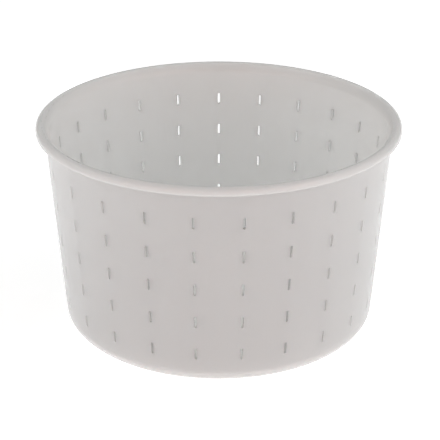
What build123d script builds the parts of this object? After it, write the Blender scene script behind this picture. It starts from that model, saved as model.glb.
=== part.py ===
"""Round cheese mould for soft and semi-hard cheese: one injection-moulded polypropylene tub.

The tub is a single moulding. Its wall tapers so that cheeses and nested moulds slide out, its
rim is a rounded bead to lift it by, and whey drains through upright slots in the wall and
through rings of slots in the base. Millimetres, +Z up, origin on the axis in the plane that the
mould stands on.
"""
from build123d import *
import math
import os

# Driving dimensions
rim_radius = 80.0  # outermost radius, at the bead
height = 94.0
wall = 1.8  # wall thickness, measured square to the axis
wall_radius_at_base = 69.2  # outer wall line carried down to the plane it stands on
wall_radius_at_rim = 76.1  # outer wall, just under the bead
base_corner = 7.0  # outside radius between wall and base

# Rim bead
bead_underside = 90.0  # height where the wall meets the bead
bead_skirt = 3.4  # drop from the top of the bead to the foot of its outer face
bead_crest_radius = 76.6  # inner edge of the crest, before rounding
bead_mouth_drop = 2.8  # drop from the crest to the crease on the inner wall
bead_round = 2.2
bead_foot_round = 0.7
bead_root_round = 0.8
crease_round = 5.0  # soft flare from the inner wall up into the bead

# Base
floor_thickness = 2.0
foot_recess = 1.0  # how far the underside is set up inside the foot ring
foot_ring_inner_radius = 57.0
foot_bevel = 1.0

# Drain slots
slot_width = 1.0
slot_length = 5.4
wall_slot_columns = 23
wall_slot_rows = 5
wall_slot_lowest = 14.7  # height of the lowest row's centres
wall_slot_pitch = 15.5  # height between rows
base_slot_rings = (12.0, 25.0, 38.0, 51.0)  # radii of the slots' centres
base_slot_pitch = 14.0  # spacing aimed for round each ring


def wall_radius(z):
    """Outer radius of the wall at a height."""
    slope = (wall_radius_at_rim - wall_radius_at_base) / bead_underside
    return wall_radius_at_base + slope * z


def inner_radius(z):
    """Radius of the cavity at a height."""
    return wall_radius(z) - wall


def radial_plane(angle, radius):
    """Upright plane facing outwards at an angle from the rear (+Y), with its Y axis up."""
    outwards = Vector(math.sin(math.radians(angle)), math.cos(math.radians(angle)), 0)
    return Plane(origin=outwards * radius, x_dir=Vector(0, 0, 1).cross(outwards), z_dir=outwards)


floor_top = foot_recess + floor_thickness
inner_corner = base_corner - wall
crease_height = height - bead_mouth_drop
skirt_foot = height - bead_skirt

# Section through one side of the tub, as (radius, height)
foot_edge = (foot_ring_inner_radius, 0)
recess_edge = (foot_ring_inner_radius - foot_bevel, foot_recess)
base_edge = (wall_radius(0), 0)
bead_root = (wall_radius(bead_underside), bead_underside)
bead_foot = (rim_radius, skirt_foot)
bead_top_outer = (rim_radius, height)
bead_top_inner = (bead_crest_radius, height)
crease = (inner_radius(crease_height), crease_height)
floor_edge = (inner_radius(floor_top), floor_top)

section_points = [
    (0, foot_recess),
    recess_edge,
    foot_edge,
    base_edge,
    bead_root,
    bead_foot,
    bead_top_outer,
    bead_top_inner,
    crease,
    floor_edge,
    (0, floor_top),
]
section_rounds = [
    (base_edge, base_corner),
    (bead_root, bead_root_round),
    (bead_foot, bead_foot_round),
    (bead_top_outer, bead_round),
    (bead_top_inner, bead_round),
    (crease, crease_round),
    (floor_edge, inner_corner),
]

with BuildPart() as mould_body:
    # Wall, base and bead, turned from one section
    with BuildSketch(Plane.XZ) as section:
        with BuildLine():
            Polyline(*section_points, close=True)
        make_face()
        for point, radius in section_rounds:
            corner = section.vertices().sort_by_distance(point)[0]
            fillet(corner, radius)
    revolve(axis=Axis.Z)

    # Upright drain slots: one column faces the rear
    for column in range(wall_slot_columns):
        angle = 360 / wall_slot_columns * column
        with BuildSketch(radial_plane(angle, inner_radius(0) - wall)):
            for row in range(wall_slot_rows):
                with Locations((0, wall_slot_lowest + row * wall_slot_pitch)):
                    SlotOverall(slot_length, slot_width, rotation=90)
    extrude(amount=rim_radius - inner_radius(0), mode=Mode.SUBTRACT)

    # Radial drain slots through the base
    with BuildSketch(Plane.XY):
        for ring_radius in base_slot_rings:
            ring_count = round(2 * math.pi * ring_radius / base_slot_pitch)
            with PolarLocations(ring_radius, ring_count, start_angle=90):
                SlotOverall(slot_length, slot_width)
    extrude(amount=floor_top + wall, mode=Mode.SUBTRACT)

mould_body.part.label = "mould_body"

os.makedirs("parts", exist_ok=True)
export_step(mould_body.part, "parts/mould_body.step")
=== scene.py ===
"""Looks of a round cheese mould: one tub of milky, translucent polypropylene in a white light tent.

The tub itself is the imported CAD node. This script gives it its plastic, and makes the floor, the
light and the camera. Metres throughout.
"""
import math

import bpy
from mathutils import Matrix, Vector


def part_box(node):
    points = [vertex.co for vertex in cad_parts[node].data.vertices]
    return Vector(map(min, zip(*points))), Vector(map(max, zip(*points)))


# Camera. The distance and the height that it aims at are multiples of the rim's outer radius.
CAMERA_PITCH = math.radians(24.3)
CAMERA_DISTANCE = 8.45
AIM_HEIGHT = 0.559
LENS = 122.4  # mm, on a sensor 36 mm wide
SENSOR = 36.0
SHIFT = 0.0027

# Light tent: strengths that are added up by direction
TENT_BASE = 0.23
TENT_OVERHEAD = 0.15
TENT_SIDES = 0.2
TENT_HIGH_SIDES = 1.15
TENT_FRONT_QUARTERS = 1.1
TENT_RIGHT = 0.12  # added at the right and taken away at the left
TENT_TINT = (0.965, 1.0, 1.0)
TENT_FRONT_TINT = (1.75, 0.62, 0.42)
TENT_FRONT_FOCUS = 2  # how closely the warm light keeps to the middle of the front
TENT_LOW_FOCUS = 2  # how closely it keeps to the horizon

# A wide, low softbox at each side of the tent
SOFTBOX_DISTANCE = 1.4
SOFTBOX_ELEVATION = math.radians(25)
SOFTBOX_WIDTH = 1.1
SOFTBOX_HEIGHT = 0.12
SOFTBOX_TURN = math.radians(12)  # towards the camera from straight across
SOFTBOX_LEFT_WATTS = 0.9
SOFTBOX_RIGHT_WATTS = 1.3

# Plastic: colour clouds slowly between two tints, and light scatters inside it
PLASTIC_TINT = (0.782, 0.779, 0.769)
CLOUD_TINT = (0.754, 0.754, 0.746)
PLASTIC_IOR = 1.49
CLARITY = 0.25
SCATTER_DEPTH = 0.012
SCATTER_BY_COLOUR = (1.0, 0.97, 0.93)
GLOSSIEST = 0.19  # roughness where the satin surface is smoothest
DULLEST = 0.26

# Its fine detail, as noise features per metre and relief depths
CLOUDS_PER_METRE = 14
SMEARS_PER_METRE = 60
DRAW_MARKS_PER_METRE = 900
DRAW_MARK_STRETCH = (1, 1, 0.04)  # long up the wall, the way the moulding leaves its core
DRAW_MARK_DEPTH = 0.00002
GRAIN_PER_METRE = 1600
GRAIN_DEPTH = 0.00001

FLOOR_SIZE = 6.0
FLOOR_COLOUR = (0.8, 0.8, 0.8)
FLOOR_ROUGHNESS = 0.6
FLOOR_GLOW = 0.56


class Nodes:
    """Short ways to add shader nodes to one tree."""

    def __init__(self, owner):
        owner.use_nodes = True
        self.tree = owner.node_tree
        self.new = self.tree.nodes.new
        self.link = self.tree.links.new

    def feed(self, socket, value):
        """Link an output socket, or set a plain value."""
        if isinstance(value, bpy.types.NodeSocket):
            self.link(value, socket)
        else:
            socket.default_value = value

    def math(self, operation, a, b=0):
        node = self.new("ShaderNodeMath")
        node.operation = operation
        self.feed(node.inputs[0], a)
        self.feed(node.inputs[1], b)
        return node.outputs[0]

    def product(self, a, b):
        return self.math("MULTIPLY", a, b)

    def total(self, first, *others):
        for other in others:
            first = self.math("ADD", first, other)
        return first

    def noise(self, vector, scale, detail):
        """Noise with a number of features per metre, from 0 to 1."""
        node = self.new("ShaderNodeTexNoise")
        self.feed(node.inputs["Vector"], vector)
        self.feed(node.inputs["Scale"], scale)
        self.feed(node.inputs["Detail"], detail)
        return node.outputs["Fac"]

    def stretched(self, vector, scale):
        node = self.new("ShaderNodeVectorMath")
        node.operation = "MULTIPLY"
        self.feed(node.inputs[0], vector)
        self.feed(node.inputs[1], scale)
        return node.outputs[0]

    def between(self, factor, low, high):
        """A number that goes from low to high as the factor goes from 0 to 1."""
        node = self.new("ShaderNodeMapRange")
        self.feed(node.inputs["Value"], factor)
        self.feed(node.inputs["To Min"], low)
        self.feed(node.inputs["To Max"], high)
        return node.outputs["Result"]

    def mix(self, factor, a, b):
        """A colour that goes from a to b as the factor goes from 0 to 1."""
        node = self.new("ShaderNodeMix")
        node.data_type = "RGBA"
        self.feed(node.inputs["Factor"], factor)
        self.feed(node.inputs["A"], (*a, 1))
        self.feed(node.inputs["B"], (*b, 1))
        return node.outputs["Result"]

    def bump(self, height, depth, normal=None):
        """Surface relief of a depth in metres, on top of another relief if one is given."""
        node = self.new("ShaderNodeBump")
        self.feed(node.inputs["Height"], height)
        self.feed(node.inputs["Distance"], depth)
        if normal is not None:
            self.link(normal, node.inputs["Normal"])
        return node.outputs["Normal"]


def milky_polypropylene():
    """Satin moulded plastic that light soaks into and shines through."""
    material = bpy.data.materials.new("milky_polypropylene")
    nodes = Nodes(material)
    shader = nodes.tree.nodes["Principled BSDF"]
    place = nodes.new("ShaderNodeTexCoord").outputs["Object"]
    clouds = nodes.noise(place, CLOUDS_PER_METRE, detail=3)
    smears = nodes.noise(place, SMEARS_PER_METRE, detail=4)
    drawn_out = nodes.stretched(place, DRAW_MARK_STRETCH)
    draw_marks = nodes.noise(drawn_out, DRAW_MARKS_PER_METRE, detail=2)
    grain = nodes.noise(place, GRAIN_PER_METRE, detail=2)

    nodes.feed(shader.inputs["Base Color"], nodes.mix(clouds, CLOUD_TINT, PLASTIC_TINT))
    nodes.feed(shader.inputs["Roughness"], nodes.between(smears, GLOSSIEST, DULLEST))
    relief = nodes.bump(draw_marks, DRAW_MARK_DEPTH)
    nodes.feed(shader.inputs["Normal"], nodes.bump(grain, GRAIN_DEPTH, relief))
    shader.inputs["IOR"].default_value = PLASTIC_IOR
    shader.inputs["Transmission Weight"].default_value = CLARITY
    shader.inputs["Subsurface Weight"].default_value = 1.0
    shader.inputs["Subsurface Radius"].default_value = SCATTER_BY_COLOUR
    shader.inputs["Subsurface Scale"].default_value = SCATTER_DEPTH
    return material


def lay_floor():
    """Plain pale floor that glows a little, like the lit base of a light tent."""
    material = bpy.data.materials.new("pale_floor")
    nodes = Nodes(material)
    shader = nodes.tree.nodes["Principled BSDF"]
    shader.inputs["Base Color"].default_value = (*FLOOR_COLOUR, 1)
    shader.inputs["Roughness"].default_value = FLOOR_ROUGHNESS
    shader.inputs["Emission Color"].default_value = (1, 1, 1, 1)
    shader.inputs["Emission Strength"].default_value = FLOOR_GLOW
    half = FLOOR_SIZE / 2
    corners = [(-half, -half, 0), (half, -half, 0), (half, half, 0), (-half, half, 0)]
    mesh = bpy.data.meshes.new("floor")
    mesh.from_pydata(corners, [], [(0, 1, 2, 3)])
    mesh.materials.append(material)
    floor = bpy.data.objects.new("floor", mesh)
    scene.collection.objects.link(floor)


def pitch_light_tent():
    """Light from all round, brightest between the front quarters and the sides.

    It is warm low down at the front.
    """
    world = bpy.data.worlds.new("light_tent")
    nodes = Nodes(world)
    background = nodes.tree.nodes["Background"]
    direction = nodes.new("ShaderNodeTexCoord").outputs["Generated"]
    split = nodes.new("ShaderNodeSeparateXYZ")
    nodes.link(direction, split.inputs[0])
    across, away, up = split.outputs
    overhead = nodes.math("MAXIMUM", up, 0)
    nearness = nodes.math("MAXIMUM", nodes.product(away, -1), 0)

    above = nodes.product(overhead, TENT_OVERHEAD)
    side_level = nodes.total(nodes.product(overhead, TENT_HIGH_SIDES), TENT_SIDES)
    sides = nodes.product(nodes.product(across, across), side_level)
    diagonal = nodes.product(nodes.math("ABSOLUTE", across), nearness)
    quarters = nodes.product(diagonal, TENT_FRONT_QUARTERS)
    right = nodes.product(across, TENT_RIGHT)
    nodes.link(nodes.total(sides, right, quarters, above, TENT_BASE), background.inputs["Strength"])

    frontness = nodes.math("POWER", nearness, TENT_FRONT_FOCUS)
    lowness = nodes.math("POWER", nodes.math("SUBTRACT", 1, overhead), TENT_LOW_FOCUS)
    colour = nodes.mix(nodes.product(frontness, lowness), TENT_TINT, TENT_FRONT_TINT)
    nodes.link(colour, background.inputs["Color"])
    scene.world = world


def hang_softbox(name, side, watts):
    """Softbox facing the mould from the left (side -1) or the right (side 1)."""
    data = bpy.data.lights.new(name, "AREA")
    data.shape = "RECTANGLE"
    data.size = SOFTBOX_WIDTH
    data.size_y = SOFTBOX_HEIGHT
    data.energy = watts
    softbox = bpy.data.objects.new(name, data)
    across, near = math.cos(SOFTBOX_TURN), math.sin(SOFTBOX_TURN)
    level = Vector((side * across, -near, 0)) * math.cos(SOFTBOX_ELEVATION)
    towards = level + Vector((0, 0, math.sin(SOFTBOX_ELEVATION)))
    softbox.location = towards * SOFTBOX_DISTANCE
    softbox.rotation_euler = towards.to_track_quat("Z", "Y").to_euler()
    softbox.visible_camera = False
    scene.collection.objects.link(softbox)


def set_camera():
    """Camera in front of the mould, looking down at it."""
    data = bpy.data.cameras.new("camera")
    data.sensor_width = SENSOR
    data.lens = LENS
    data.shift_x = SHIFT
    camera = bpy.data.objects.new("camera", data)
    aim = Vector((0, 0, AIM_HEIGHT * rim_radius))
    back_off = Vector((0, -math.cos(CAMERA_PITCH), math.sin(CAMERA_PITCH)))
    camera.location = aim + back_off * CAMERA_DISTANCE * rim_radius
    camera.rotation_euler = (math.pi / 2 - CAMERA_PITCH, 0, 0)
    scene.collection.objects.link(camera)
    scene.camera = camera


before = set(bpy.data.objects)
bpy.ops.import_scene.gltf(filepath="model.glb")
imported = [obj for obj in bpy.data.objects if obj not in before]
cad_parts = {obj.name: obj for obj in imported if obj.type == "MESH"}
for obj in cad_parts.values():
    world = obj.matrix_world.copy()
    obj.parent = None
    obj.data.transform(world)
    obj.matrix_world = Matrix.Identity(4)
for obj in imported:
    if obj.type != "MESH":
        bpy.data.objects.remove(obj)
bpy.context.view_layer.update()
scene = bpy.context.scene
scene.view_settings.view_transform = "Standard"

# Light crosses the thin wall many times before it leaves the tub
scene.cycles.max_bounces = 24
scene.cycles.diffuse_bounces = 12
scene.cycles.transmission_bounces = 16

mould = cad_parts["mould_body"]
low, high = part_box("mould_body")
rim_radius = (high.x - low.x) / 2

mould.material_slots[0].material = milky_polypropylene()
lay_floor()
pitch_light_tent()
hang_softbox("softbox_left", -1, SOFTBOX_LEFT_WATTS)
hang_softbox("softbox_right", 1, SOFTBOX_RIGHT_WATTS)
set_camera()
